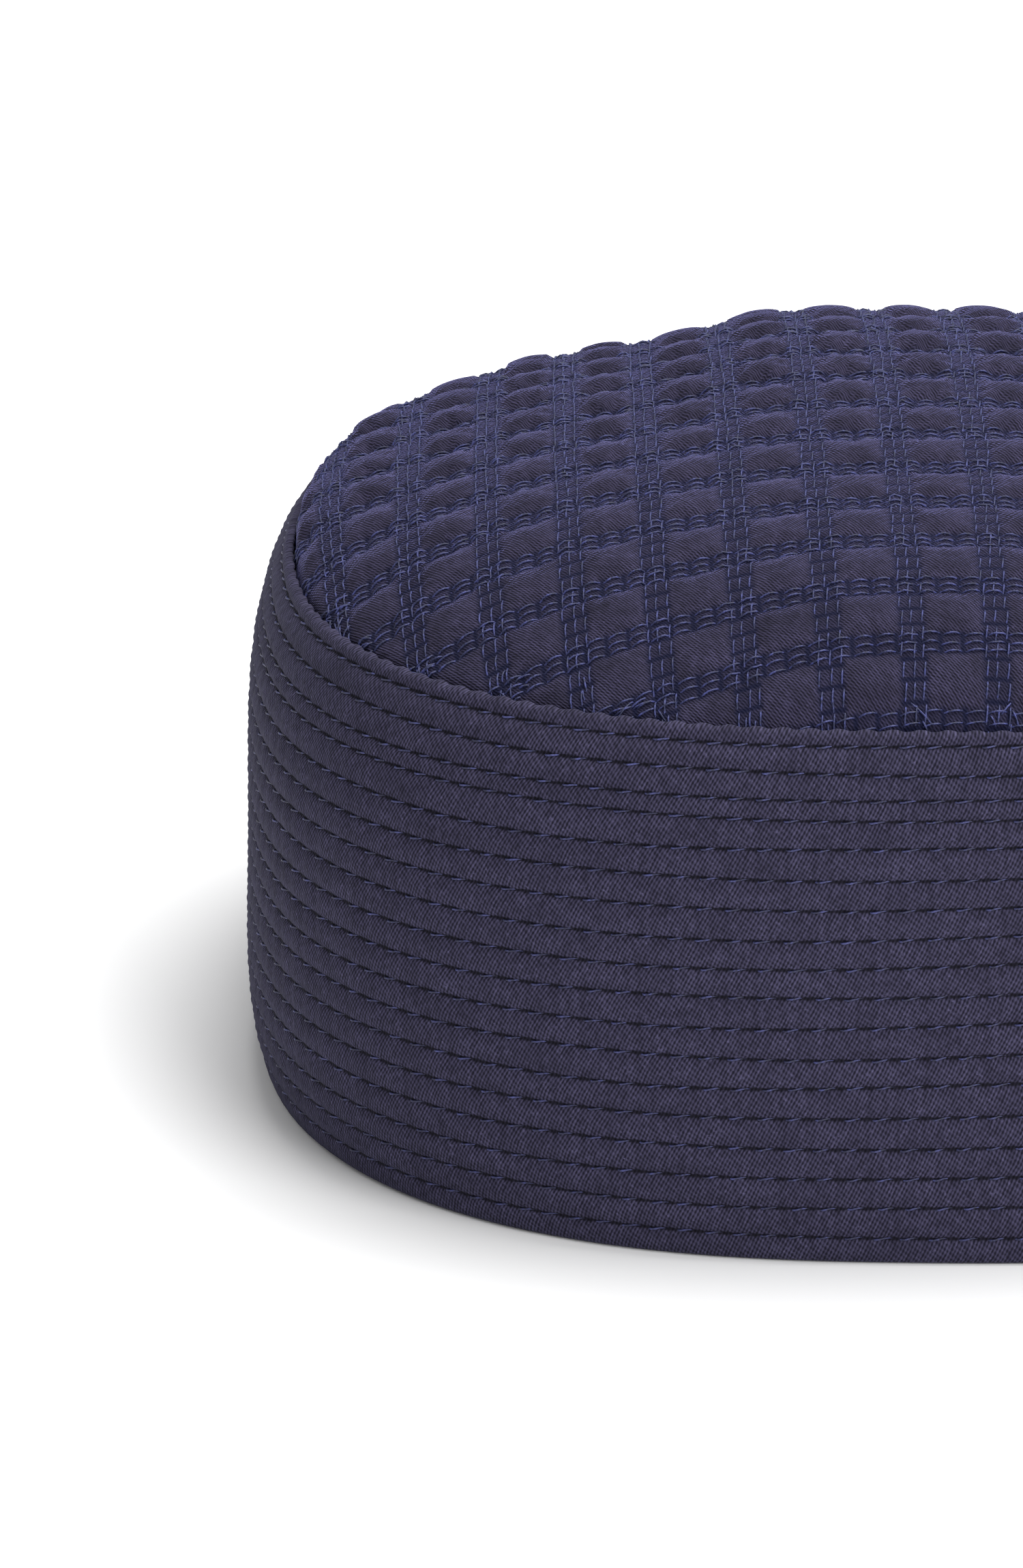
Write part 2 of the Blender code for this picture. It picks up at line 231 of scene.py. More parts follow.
def arc_angles(cap):
    """Angles at equal steps of length round the band, starting at its back."""
    fine = np.linspace(0.0, math.tau, ARC_SAMPLES * 4 + 1) + math.pi / 2.0
    height = cap.size.band_height / 2.0
    x, y = oval(cap, fine, band_half_width(cap, height), height)
    run = np.concatenate([[0.0], np.cumsum(np.hypot(np.diff(x), np.diff(y)))])
    cap.girth = float(run[-1])
    return np.interp(np.linspace(0.0, run[-1], ARC_SAMPLES + 1), run, fine)


def angle_at(cap, turns):
    """The angle at a share of the way round the band."""
    whole = np.floor(turns)
    steps = np.linspace(0.0, 1.0, ARC_SAMPLES + 1)
    return np.interp(turns - whole, steps, cap.angles) + math.tau * whole


def on_band(cap, turns, height, lift):
    """A point at a lift off the band's outer face, which has sunk, spread and drawn in a little."""
    radius = band_half_width(cap, height) + lift
    x, y = oval(cap, angle_at(cap, turns), radius, height)
    share = np.clip(height / cap.size.band_height, 0.0, 1.0)
    side = np.exp(-0.5 * ((x - cap.size.sink_place) / cap.size.sink_width) ** 2)
    front = np.clip(-y / (cap.size.half_width * cap.size.depth_ratio), 0.0, 1.0) ** 2
    y = y + cap.size.sink_depth * side * front * np.sin(math.pi * share)
    y = y - cap.size.foot_flare * front * (1.0 - share) ** 5
    tuck = rim_tuck(y) * share**5
    narrow = 1.0 - cap.size.rim_tuck * tuck / cap.size.half_width
    height = height - cap.size.rim_droop * tuck
    return np.stack(np.broadcast_arrays(x * narrow, y * narrow, height), axis=-1)


ROW_MIDDLES = [sum(corner.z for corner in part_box(name)) / 2.0 for name in ROW_NODES]


def waves(turns, seed, slowest, count, falloff=1.0):
    """Seeded slow waves round the band, which meet themselves after a turn."""
    random = np.random.default_rng(seed)
    total = np.zeros_like(turns)
    for number in range(count):
        cycles = slowest + number
        size = random.uniform(0.4, 1.0) / (1.0 + falloff * number)
        total = total + size * np.sin(math.tau * cycles * turns + random.uniform(0.0, math.tau))
    return total


def row_path(cap, row, turns):
    """The height of a row round the band: all rows stray together, and each a little by itself."""
    middle = ROW_MIDDLES[row]
    together = 0.7 * waves(turns, 5, 2, 5)
    alone = 0.5 * waves(turns, 100 + row, 3, 9, 0.35)
    return middle + cap.band.wander * (together + alone)


# The crown's dome.


def dome_fall(share):
    """The share of the crown's rise that is lost at a share of its radius."""
    return sum(weight * share**power for power, weight in DOME_POWERS)


def dome_slope(share):
    return sum(power * weight * share ** (power - 1) for power, weight in DOME_POWERS)


def plan_reach(cap, direction):
    """Distance in plan from the apex to the crown's edge."""
    power = cap.size.plan_power
    across = np.abs(np.cos(direction))
    along = np.abs(np.sin(direction)) / cap.size.depth_ratio
    return cap.seam_radius * (across**power + along**power) ** (-1.0 / power)


def laying_table(cap):
    """Tables from a length along the dome to a share of the radius, for a range of reaches."""
    everywhere = plan_reach(cap, np.linspace(0.0, math.tau, 721))
    reaches = np.linspace(everywhere.min(), everywhere.max(), REACH_STEPS)
    shares = np.linspace(0.0, 1.0, SHARE_STEPS + 1)
    middle = (shares[1:] + shares[:-1]) / 2.0
    fall = cap.size.crown_rise * dome_slope(middle)
    steps = np.hypot(reaches[:, None], fall[None, :]) / SHARE_STEPS
    lengths = np.concatenate([np.zeros((REACH_STEPS, 1)), np.cumsum(steps, axis=1)], axis=1)
    distances = np.linspace(0.0, float(lengths.max()), LENGTH_STEPS)
    found = np.array([np.interp(distances, row, shares) for row in lengths])
    return SimpleNamespace(
        reaches=reaches, shares=shares, lengths=lengths, distances=distances, found=found
    )


def lay(cap, x, y):
    """Where a point of the flat cloth comes to lie: direction, share of the radius and overhang."""
    table = cap.laying
    direction = np.arctan2(y, x)
    distance = np.hypot(x, y)
    place = np.interp(plan_reach(cap, direction), table.reaches, np.arange(REACH_STEPS))
    row = np.clip(place.astype(int), 0, REACH_STEPS - 2)
    down = place - row
    place = np.interp(distance, table.distances, np.arange(LENGTH_STEPS))
    column = np.clip(place.astype(int), 0, LENGTH_STEPS - 2)
    across = place - column
    upper = table.found[row, column] * (1.0 - across) + table.found[row, column + 1] * across
    lower = table.found[row + 1, column] * (1.0 - across) + table.found[row + 1, column + 1] * across
    edge = table.lengths[row, -1] * (1.0 - down) + table.lengths[row + 1, -1] * down
    overhang = np.maximum(distance - edge, 0.0)
    share = np.where(overhang > 0.0, 1.0, upper * (1.0 - down) + lower * down)
    return direction, share, overhang


def crown_lean(x, y, share):
    """The soft dome stands a little higher behind its middle than at its left back."""
    step = smooth_step(-42.0 * MM, -16.0 * MM, x)
    back = np.clip((y + 30.0 * MM) / (60.0 * MM), 0.0, 1.0)
    return (3.7 * step - 1.3) * MM * back * (1.0 - share**6)


def rim_tuck(y):
    """Towards the back the rim is drawn in and down, under the crown's puffed edge."""
    return smooth_step(-12.0 * MM, 28.0 * MM, y)


def edge_bulge(cap, y, share):
    """The crown's edge puffs out over the seam at the sides and the back."""
    inward = (1.0 - share) * cap.seam_radius
    shape = (1.0 - np.exp(-inward / (1.6 * MM))) * np.exp(-((inward / (14.0 * MM)) ** 2))
    side = 0.1 + 0.9 * smooth_step(-48.0 * MM, 4.0 * MM, y)
    side = side * (1.0 - 0.55 * smooth_step(25.0 * MM, 60.0 * MM, y))
    return cap.size.edge_bulge * side * shape


def front_fill(cap, x, y, share):
    """Extra height of the full front, which fades towards the apex and the left front."""
    inward = (1.0 - share) * cap.seam_radius
    shape = (1.0 - np.exp(-inward / (5.0 * MM))) * np.exp(-((inward / (42.0 * MM)) ** 2))
    place = smooth_step(-34.0 * MM, -8.0 * MM, x) * smooth_step(20.0 * MM, -25.0 * MM, y)
    return cap.size.front_fullness * shape * place


def on_crown(cap, x, y, lift):
    """Lay flat cloth on the dome at a lift; past the seam it hangs straight down behind the band."""
    direction, share, overhang = lay(cap, x, y)
    reach = plan_reach(cap, direction)
    slope = cap.size.crown_rise * dome_slope(share) / reach
    steep = np.hypot(slope, 1.0)
    over_dome = overhang <= 0.0
    outward = np.where(over_dome, slope / steep, 1.0)
    upward = np.where(over_dome, 1.0 / steep, 0.0)
    down = np.minimum(overhang, CROWN_ALLOWANCE)
    height = cap.seam_height + cap.size.crown_rise * (1.0 - dome_fall(share)) - down
    north = share * reach * np.sin(direction)
    lift = lift + np.where(over_dome, edge_bulge(cap, north, share), 0.0)
    tuck = rim_tuck(north) * share**5
    radius = share * reach + lift * outward - cap.size.rim_tuck * tuck
    east, north = radius * np.cos(direction), radius * np.sin(direction)
    height = height + lift * upward + crown_lean(east, north, share) - cap.size.rim_droop * tuck
    height = height + np.where(over_dome, front_fill(cap, east, north, share), 0.0)
    return np.stack([east, north, height], axis=-1), overhang


def quilt_place(cap, across, along):
    """From the quilting's own grid to the flat cloth: crosswise passes bow, and the grid is turned."""
    bow = cap.quilt.bow + cap.quilt.bow_easing * along
    along = along + bow * (across / cap.size.half_width) ** 2
    turn = cap.quilt.turn
    x = across * math.cos(turn) - along * math.sin(turn)
    y = across * math.sin(turn) + along * math.cos(turn)
    return x, y


def pass_offset(cap, name):
    """Distance of a pass from the apex in the flat cloth, found from the middle of its CAD strip."""
    crosswise = "crosswise" in name
    points = np.array([vertex.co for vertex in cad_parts[name].data.vertices])
    run = points[:, 0] if crosswise else points[:, 1]
    near = points[np.argsort(np.abs(run))[:8]].mean(axis=0)
    direction = math.atan2(near[1], near[0])
    reach = float(plan_reach(cap, direction))
    share = math.hypot(near[0], near[1]) / reach
    place = float(np.interp(reach, cap.laying.reaches, np.arange(REACH_STEPS)))
    lengths = cap.laying.lengths[min(int(place), REACH_STEPS - 1)]
    distance = float(np.interp(share, cap.laying.shares, lengths))
    x, y = distance * math.cos(direction), distance * math.sin(direction)
    turn = -cap.quilt.turn
    if crosswise:
        return x * math.sin(turn) + y * math.cos(turn)
    return x * math.cos(turn) - y * math.sin(turn)


def pass_offsets(cap, direction):
    """Offsets of all passes in one direction, evened out to the machine's constant pitch."""
    names = [name for name in PASS_NODES if direction in name]
    found = np.array([pass_offset(cap, name) for name in names])
    first = float(np.mean(found - cap.quilt.pitch * np.arange(len(names))))
    return names, first + cap.quilt.pitch * np.arange(len(names))


# Meshes from grids of points and from runs of thread.


def grid_mesh(name, points, maps, close_rows, close_columns):
    """A mesh over a grid of points, with named maps of two values for each corner of its faces.

    A map has one more row or column than the points where the grid closes on itself.
    """
    rows, columns = points.shape[:2]
    row = np.arange(rows if close_rows else rows - 1)
    column = np.arange(columns if close_columns else columns - 1)
    row, column = (axis.ravel() for axis in np.meshgrid(row, column, indexing="ij"))
    corners = ((row, column), (row, column + 1), (row + 1, column + 1), (row + 1, column))
    faces = np.stack([(r % rows) * columns + c % columns for r, c in corners], axis=1)
    mesh = bpy.data.meshes.new(name)
    mesh.from_pydata(points.reshape(-1, 3).tolist(), [], faces.tolist())
    for map_name, values in maps.items():
        layer = mesh.uv_layers.new(name=map_name)
        at_corners = np.stack([values[r, c] for r, c in corners], axis=1)
        layer.data.foreach_set("uv", at_corners.astype(np.float32).ravel())
    return mesh


def thread_tubes(paths, outward, radius, sides=6):
    """Points and faces of closed tubes along many paths, given as stitches by points by 3."""
    stitches, points = paths.shape[:2]
    run = np.gradient(paths, axis=1)
    run /= np.linalg.norm(run, axis=2, keepdims=True)
    across = np.cross(run, outward)
    across /= np.linalg.norm(across, axis=2, keepdims=True)
    up = np.cross(across, run)
    turns = math.tau * np.arange(sides) / sides
    thin = np.broadcast_to(radius, (stitches, points))[:, :, None, None]
    ring = across[:, :, None] * np.cos(turns)[:, None] + up[:, :, None] * np.sin(turns)[:, None]
    vertices = (paths[:, :, None] + thin * ring).reshape(-1, 3)
    start = (np.arange(stitches) * points * sides)[:, None, None]
    point = (np.arange(points - 1) * sides)[None, :, None]
    side = np.arange(sides)[None, None, :]
    after = (side + 1) % sides
    walls = [start + point + side, start + point + after]
    walls += [start + point + sides + after, start + point + sides + side]
    walls = np.stack(np.broadcast_arrays(*walls), axis=-1).reshape(-1, 4)
    first = start[:, 0] + np.arange(sides)[::-1]
    last = start[:, 0] + (points - 1) * sides + np.arange(sides)
    return vertices.tolist(), walls.tolist() + first.tolist() + last.tolist()


def thread_mesh(name, tubes):
    """One mesh of several sets of tubes."""
    points, faces = [], []
    for vertices, corners in tubes:
        faces += [[len(points) + corner for corner in face] for face in corners]
        points += vertices
    mesh = bpy.data.meshes.new(name)
    mesh.from_pydata(points, [], faces)
    return mesh


def add_piece(name, mesh, material, nodes):
    """Make a piece of a finished mesh, and let it stand for its CAD nodes."""
    mesh.name = name
    mesh.validate()
    mesh.shade_smooth()
    mesh.materials.append(material)
    piece = bpy.data.objects.new(name, mesh)
    bpy.context.scene.collection.objects.link(piece)
    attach(piece, "root")
    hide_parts(*nodes)
    return piece


# Materials.


def add_node(material, kind, *inputs, sockets=(), **settings):
    """Add a shader node of a kind, written with its operation after a dot where it has one.

    Inputs fill its sockets in order and the pairs in sockets say theirs. A node that is given as
    an input stands for its first output.
    """
    tree = material.node_tree
    kind, _, operation = kind.partition(".")
    node = tree.nodes.new("ShaderNode" + kind)
    if operation:
        node.operation = operation
    for setting, value in settings.items():
        setattr(node, setting, value)
    for socket, value in (*enumerate(inputs), *sockets):
        if isinstance(value, bpy.types.Node):
            value = value.outputs[0]
        if isinstance(value, bpy.types.NodeSocket):
            tree.links.new(value, node.inputs[socket])
        else:
            node.inputs[socket].default_value = value
    return node


def new_material(name, **values):
    """A material, its Principled shader with values set, and add_node bound to the material."""
    material = bpy.data.materials.new(name)
    material.use_nodes = True
    shader = material.node_tree.nodes["Principled BSDF"]
    for socket, value in values.items():
        shader.inputs[socket.replace("_", " ")].default_value = value
    return material, shader, partial(add_node, material)


def opaque(values, scale=1.0):
    return (*(value * scale for value in values), 1.0)


TWILL_LINE = 0.52 * MM
TWILL_YARN = 0.62 * MM
BAND_LEAN = 0.45
CROWN_LEAN = 0.8


def twill_pattern(node, lean):
    """Height of the twill at a point: slanted lines broken into single yarns, some of them thick.

    A twill's wales are 0.36 mm apart, drawn 0.52 mm apart so that they still show at a distance.
    """
    where = node("UVMap", uv_map="cloth")
    drift = node("TexNoise", sockets=(("Vector", where), ("Scale", 0.16 / MM), ("Detail", 2.0)))
    across, along, _ = node("SeparateXYZ", where).outputs
    slanted = node("Math.MULTIPLY_ADD", along, lean, across)
    wander = node("Math.MULTIPLY", drift, 4.0)
    turns = node("Math.MULTIPLY_ADD", slanted, math.tau / TWILL_LINE, wander)
    wale = node("Math.SINE", turns)
    steps = node("Math.MULTIPLY", along, math.tau / TWILL_YARN)
    yarn = node("Math.SINE", node("Math.MULTIPLY_ADD", turns, 0.5, steps))
    both = node("Math.MULTIPLY_ADD", yarn, 0.24, node("Math.MULTIPLY", wale, 0.42))
    stretched = node("CombineXYZ", slanted, node("Math.MULTIPLY", along, 0.35))
    slub = speckle(node, stretched, 0.5 * MM, 0.32, 0.68)
    both = node("Math.MULTIPLY_ADD", node("Math.SUBTRACT", slub, 0.5), 0.6, both)
    return where, node("Math.ADD", both, 0.5)


def speckle(node, where, size, least, most):
    """Blotches of a size, from 0 to 1."""
    scale = (("Vector", where), ("Scale", 1.0 / size), ("Detail", 3.0), ("Roughness", 0.6))
    return node("MapRange", node("TexNoise", sockets=scale), least, most, 0.0, 1.0)


def lint(node, where):
    """Rare specks of pale lint."""
    return node("Math.MULTIPLY", speckle(node, where, 1.5 * MM, 0.755, 0.79), 1.2)


def finish_cloth(node, shader, layers, height, strength, distance):
    """Colour the shader by laying each (share, colour) layer over the ones before; then bump it."""
    (_, base), *over = layers
    for share, colour_over in over:
        sockets = ((0, share), (6, base), (7, colour_over))
        base = node("Mix", sockets=sockets, data_type="RGBA").outputs[2]
    relief = (("Height", height), ("Strength", strength), ("Distance", distance))
    links = shader.id_data.links
    links.new(base, shader.inputs["Base Color"])
    links.new(node("Bump", sockets=relief).outputs[0], shader.inputs["Normal"])


def band_twill(cap):
    """Woven cotton twill, dyed navy: matt, with fine slanted lines and painted shade along its stitched
    creases.
    """
    material, shader, node = new_material(
        "band_cotton_twill",
        Roughness=0.85,
        IOR=1.46,
        Sheen_Weight=0.06,
        Sheen_Roughness=0.3,
        Specular_IOR_Level=0.15,
        Sheen_Tint=opaque(linear("B9C0EE")),
    )
    where, weave = twill_pattern(node, -BAND_LEAN)
    stitch, distance, _ = node("SeparateXYZ", node("UVMap", uv_map="rows")).outputs
    beat = node("Math.SINE", node("Math.MULTIPLY", stitch, math.tau))
    width = node("Math.MULTIPLY_ADD", beat, 0.05 * MM, 0.2 * MM)
    away = node("Math.DIVIDE", distance, width)
    crease = node("MapRange", away, 0.4, 1.9, 1.0, 0.0, interpolation_type="SMOOTHSTEP")
    patchy = speckle(node, where, 5.0 * MM, 0.3, 0.7)
    fleck = speckle(node, where, 0.6 * MM, 0.58, 0.74)
    raised = node("Math.MULTIPLY_ADD", fleck, 0.45, node("Math.MULTIPLY", weave, 0.5))
    ribs = node("Math.SINE", node("Math.MULTIPLY_ADD", stitch, math.tau * 2.0, 0.8))
    patchy = node("Math.MULTIPLY_ADD", ribs, 0.16, patchy)
    raised = node("Math.MULTIPLY", raised, node("Math.MULTIPLY_ADD", patchy, 0.45, 0.65))
    raised = node("Math.ADD", raised, lint(node, where))
    dark, light = cap.colour.band, cap.colour.band_light
    # Painted shade: darkens the cloth along each row's crease, in a strip that swells and narrows with the
    # stitches.
    shade = node("Math.MULTIPLY", crease, 0.8)
    layers = ((1.0, opaque(dark, 0.8)), (raised, opaque(light)), (shade, opaque(dark, 0.12)))
    finish_cloth(node, shader, layers, weave, 0.6, 0.12 * MM)
    return material


def crown_twill(cap):
    """The crown's washed twill: purple-grey on its pillows, with painted shade over the recessed passes,
    deepest at the needle holes and tinted with the quilting thread's blue.
    """
    material, shader, node = new_material(
        "crown_cotton_twill",
        Roughness=0.85,
        IOR=1.46,
        Sheen_Weight=0.95,
        Sheen_Roughness=0.14,
        Specular_IOR_Level=0.15,
        Sheen_Tint=opaque(linear("A8A8F4")),
    )
    where, weave = twill_pattern(node, CROWN_LEAN)
    distances = node("SeparateXYZ", node("UVMap", uv_map="rows")).outputs[:2]
    beats = node("SeparateXYZ", node("UVMap", uv_map="stitches")).outputs[:2]
    # Painted shade over each pass, deepest at its needle holes; its colour is the quilting thread's blue,
    # darkened.
    shade = 0.0
    for distance, beat in zip(distances, beats):
        edge = (distance, 1.6 * MM, 2.5 * MM, 1.0, 0.0)
        in_pass = node("MapRange", *edge, interpolation_type="SMOOTHSTEP")
        turn = node("Math.COSINE", node("Math.MULTIPLY", beat, math.tau))
        hole_shade = node("MapRange", turn, 0.5, 1.0, 0.36, 0.9)
        shade = node("Math.MAXIMUM", node("Math.MULTIPLY", in_pass, hole_shade), shade)
    patchy = speckle(node, where, 6.0 * MM, 0.3, 0.7)
    fleck = speckle(node, where, 0.6 * MM, 0.6, 0.76)
    raised = node("Math.MULTIPLY_ADD", fleck, 0.5, node("Math.MULTIPLY", weave, 0.6))
    raised = node("Math.MULTIPLY", raised, node("Math.MULTIPLY_ADD", patchy, 0.5, 0.34))
    raised = node("Math.ADD", raised, lint(node, where))
    pass_shade_in_thread_blue = opaque(cap.colour.quilting, 0.26)
    layers = ((1.0, opaque(cap.colour.crown)), (raised, opaque(cap.colour.crown_light)), (shade, pass_shade_in_thread_blue))
    finish_cloth(node, shader, layers, weave, 0.75, 0.14 * MM)
    return material


def spun_polyester(name, base_colour):
    """Spun polyester thread: a soft gloss, with pale flecks painted on its fine twist as highlights."""
    material, shader, node = new_material(
        name,
        Roughness=0.5,
        IOR=1.57,
        Sheen_Weight=0.05,
        Sheen_Roughness=0.4,
        Specular_IOR_Level=0.35,
        Sheen_Tint=opaque(linear("C4CCFF")),
    )
    where = node("TexCoord").outputs["Object"]
    # Painted highlights: the pale flecks stand in for light glinting on the twisted thread.
    fleck = speckle(node, where, 0.7 * MM, 0.42, 0.72)
    painted_glint = [0.7 * own + 0.3 * pale for own, pale in zip(base_colour, linear("6C72C4"))]
    layers = ((1.0, opaque(base_colour, 0.5)), (fleck, opaque(painted_glint)))
    finish_cloth(node, shader, layers, fleck, 0.6, 0.08 * MM)
    return material


def plain_cotton(cap):
    """Plain-woven cotton lining: matt and dark, with a fine even grain, a yarn each 0.45 mm."""
    material, shader, node = new_material(
        "lining_plain_cotton", Roughness=0.85, IOR=1.46, Sheen_Weight=0.15
    )
    where = node("TexCoord").outputs["Object"]
    yarn = math.tau / (0.45 * MM)
    axes = node("SeparateXYZ", where).outputs
    waves_of = [node("Math.SINE", node("Math.MULTIPLY", axis, yarn)) for axis in axes]
    weave = node("Math.MULTIPLY", waves_of[0], node("Math.ADD", waves_of[1], waves_of[2]))
    weave = node("Math.MULTIPLY_ADD", weave, 0.22, 0.5)
    patchy = speckle(node, where, 8.0 * MM, 0.3, 0.7)
    raised = node("Math.MULTIPLY", weave, node("Math.MULTIPLY_ADD", patchy, 0.5, 0.5))
    dark = cap.colour.lining
    layers = ((1.0, opaque(dark, 0.8)), (raised, opaque(dark, 2.2)))
    finish_cloth(node, shader, layers, weave, 0.4, 0.1 * MM)
    return material


def matted_fibre(name, base_colour, size):
    """Pressed or loose polyester fibre: pale, fully matt and a little blotchy."""
    material, shader, node = new_material(name, Roughness=0.95, Sheen_Weight=0.3)
    where = node("TexCoord").outputs["Object"]
    tangle = speckle(node, where, size, 0.3, 0.7)
    layers = ((1.0, opaque(base_colour, 0.75)), (tangle, opaque(base_colour)))
    finish_cloth(node, shader, layers, tangle, 0.7, 0.4 * MM)
    return material


# The band's cloth, stiffener and lining.


ROW_LINES = (-0.62 * MM, -0.28 * MM, 0.0, 0.28 * MM, 0.62 * MM)
COLUMNS_PER_STITCH = 4
CREASE_REACH = 0.42 * MM
PUFF_REACH = 1.25 * MM
RIB_HEIGHT = 0.07 * MM
BAND_SETTLE = 0.22 * MM


def band_relief(cap, turns, height, rows):
    """How far the band's cloth stands in or out: it creases at each row and puffs between rows."""
    distance = np.min(np.abs(height[None] - rows), axis=0)
    crease = np.exp(-((distance / CREASE_REACH) ** 2))
    puff = 1.0 - np.exp(-((distance / PUFF_REACH) ** 2))
    beat = math.tau * cap.band.stitches * turns
    tug = crease * (1.0 + 0.35 * np.cos(beat)) * cap.band.crease
    ribs = RIB_HEIGHT * np.cos(beat + 0.8) * (1.0 - 0.6 * crease)
    drag = 0.1 * MM * waves(turns + 0.35 * height, 31, 38, 9, 0.05) / 3.0
    slow = 0.25 * MM * waves(turns, 32, 3, 6)
    edge = np.clip(height / (3.0 * MM), 0.0, 1.0) * np.clip(
        (cap.size.band_height - height) / (1.6 * MM), 0.0, 1.0
    )
    return edge * (puff * (cap.band.puff + drag + slow * 0.4) + ribs - tug - BAND_SETTLE), distance


def band_heights(cap, rows):
    """Heights of the outer face's lines at each column, from the fold down to the foot."""
    top = np.full(rows.shape[1], cap.size.band_height - 0.55 * MM)
    foot = np.full(rows.shape[1], 0.7 * MM)
    lines = [top]
    above = top
    for row in rows:
        if above is not top:
            lines.append((above + row) / 2.0)
        for line in reversed(ROW_LINES):
            lines.append(row + line)
        above = row
    lines += [above * 0.62 + foot * 0.38, above * 0.3 + foot * 0.7, foot]
    return np.array(lines)


def band_inside(cap):
    """The rest of the band cloth's section, from the foot round the hem and up to the turned fold."""
    hem = LINING_INSET + LINING_CLOTH
    top = cap.size.band_height
    back = FOLD_INSET + FOLD_CLOTH
    leg = 0.5 * MM
    section = [(0.35 * MM, 0.16 * MM), (0.8 * MM, 0.0), (LINING_INSET - 0.4 * MM, 0.0)]
    section += [(hem - 0.15 * MM, 0.2 * MM), (hem, 0.8 * MM), (hem, HEM_DEPTH * 0.5)]
    section += [(hem, HEM_DEPTH), (hem - leg, HEM_DEPTH), (hem - leg, HEM_DEPTH * 0.5)]
    section += [(hem - leg, 0.8 * MM), (BAND_CLOTH, 0.8 * MM)]
    section += [(BAND_CLOTH, share * top) for share in (0.15, 0.3, 0.45, 0.6, 0.75, 0.88)]
    section += [(BAND_CLOTH, top - 1.0 * MM), (FOLD_INSET, top - 1.0 * MM)]
    section += [(FOLD_INSET, top - FOLD_DEPTH * 0.5), (FOLD_INSET, top - FOLD_DEPTH)]
    section += [(back, top - FOLD_DEPTH), (back, top - FOLD_DEPTH * 0.5), (back, top - 0.9 * MM)]
    section += [(back - 0.1 * MM, top - 0.35 * MM), (back * 0.7, top - 0.06 * MM)]
    section += [(back * 0.4, top - 0.05 * MM), (0.18 * MM, top - 0.2 * MM)]
    return section


def band_cloth_mesh(cap):
    """One closed sheet: outer face, foot, hem, inner face and the edge turned in at the top."""
    columns = cap.band.stitches * COLUMNS_PER_STITCH
    turns = -np.arange(columns + 1) / columns
    rows = np.array([row_path(cap, row, turns) for row in range(len(ROW_NODES))])
    heights = band_heights(cap, rows)
    relief = np.empty_like(heights)
    distance = np.empty_like(heights)
    for line, height in enumerate(heights):
        relief[line], distance[line] = band_relief(cap, turns, height, rows)
    everywhere = np.broadcast_to(turns, heights.shape)
    outer = on_band(cap, everywhere, heights, relief)
    section = band_inside(cap)
    fold_wave = 0.18 * MM * np.cos(math.tau * cap.band.stitches * turns + 1.0)
    inner = []
    for inset, height in section:
        near_top = height > cap.size.band_height - 0.5 * MM
        level = np.full(columns + 1, height) + (fold_wave if near_top else 0.0)
        inner.append(on_band(cap, turns, level, -inset))
    points = np.concatenate([outer, np.array(inner)])[:, :-1]
    run = np.concatenate([heights, [np.full(columns + 1, height) for _, height in section]])
    run = np.concatenate([run, run[:1]])
    across = np.broadcast_to(turns * cap.girth, run.shape)
    far = np.full((len(section), columns + 1), 2.0 * MM)
    distance = np.concatenate([distance, far, distance[:1]])
    stitch = np.broadcast_to(turns * cap.band.stitches, run.shape)
    maps = {
        "cloth": np.stack([across, run], axis=-1),
        "rows": np.stack([stitch, distance], axis=-1),
    }
    return grid_mesh("band_cloth", points, maps, True, True)


def sleeve_mesh(cap, name, inset, thickness, bottom, top, ripple):
    """A closed upright sleeve that follows the band at an inset; its inner face ripples."""
    columns = cap.band.stitches * 2
    turns = -np.arange(columns) / columns
    heights = np.linspace(top, bottom, 40)
    outer = [on_band(cap, turns, np.full(columns, height), -inset) for height in heights]
    inner = []
    for height in heights[::-1]:
        level = np.full(columns, height)
        wave = ripple * (waves(turns + 2.0 * height, 61, 9, 8, 0.1) / 4.0 - 0.5)
        inner.append(on_band(cap, turns, level, -inset - thickness - np.maximum(wave, -0.2 * MM)))
    points = np.array(outer + inner)
    return grid_mesh(name, points, {}, True, True)


# The crown's cloth, wadding and lining, on a grid that follows the passes of quilting.


PASS_LINES = (-1.95 * MM, -1.5 * MM, -0.75 * MM, 0.0, 0.75 * MM, 1.5 * MM, 1.95 * MM)
PASS_HALF = 1.95 * MM
PILLOW_LINES = 8
WADDING_EDGE = 0.93
TANGLE = 4
CROWN_CLOTH = 0.5 * MM
CROWN_LINING = 0.4 * MM
CLEAR_OF_CLOTH = 0.1 * MM
LINING_DROP = 1.0 * MM
LINING_PUFF = 0.9 * MM
LINING_NEAREST = 0.8 * MM
CHANNEL_DEPTH = 0.14 * MM
STITCH_TUG = 0.1 * MM


def first_offsets(cap):
    """The first pass's offset in each direction: across is counted on lengthwise passes."""
    return {
        "across": pass_offsets(cap, "lengthwise")[1][0],
        "along": pass_offsets(cap, "crosswise")[1][0],
    }


def to_nearest_pass(cap, first, value):
    """Signed distance to the nearest pass, and the number of the pillow that a value falls in."""
    steps = (value - first) / cap.quilt.pitch
    return (steps - np.round(steps)) * cap.quilt.pitch, np.floor(steps).astype(int)


def pillow_random(across_cell, along_cell, seed):
    """A steady random number from 0 to 1 for each pillow."""
    mixed = np.sin(across_cell * 12.9898 + along_cell * 78.233 + seed * 37.719) * 43758.5453
    return mixed - np.floor(mixed)


def pillow_rise(share):
    """Rise across half a pillow, steep beside the stitches and round on top."""
    return 1.0 - (1.0 - share) ** 2.7


